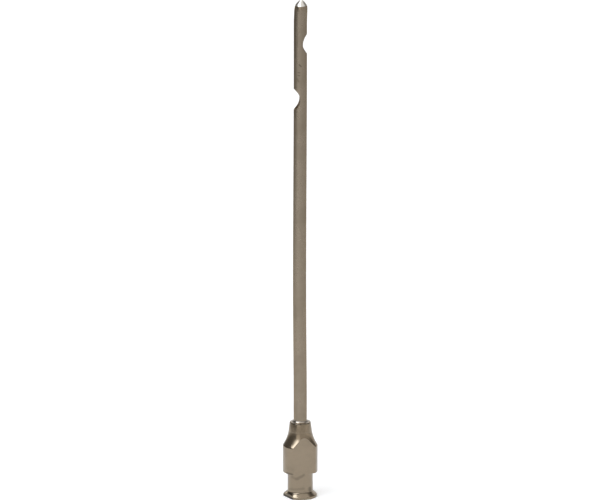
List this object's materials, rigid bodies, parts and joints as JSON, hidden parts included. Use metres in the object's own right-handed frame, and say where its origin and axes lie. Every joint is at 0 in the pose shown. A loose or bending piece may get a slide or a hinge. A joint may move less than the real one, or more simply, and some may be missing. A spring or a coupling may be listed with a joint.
{
  "type": "metal syringe needle",
  "caption": "Long blunt syringe needle with round openings in its side, a closed ground point and a turned metal hub with flats, a flange with lugs and a tapered socket.",
  "frame": {"origin": "centre of the hub's mouth, on the flat seating face that the needle stands on", "axes": "+Z along the tube towards the point, +X towards the side of the upper opening"},
  "size_m": [0.008, 0.0078, 0.1184],
  "materials": {
    "plated_hub": "dull nickel plate over turned brass, with fine turning marks",
    "tube_steel": "satin drawn stainless steel with faint marks along its length",
    "ground_steel": "ground and polished stainless steel",
    "solder": "smooth bright solder"
  },
  "bodies": {
    "root": {"hub": "plated_hub", "cannula_tube": "tube_steel", "tip_plug": "ground_steel", "solder_ring": "solder"}
  },
  "joints": []
}
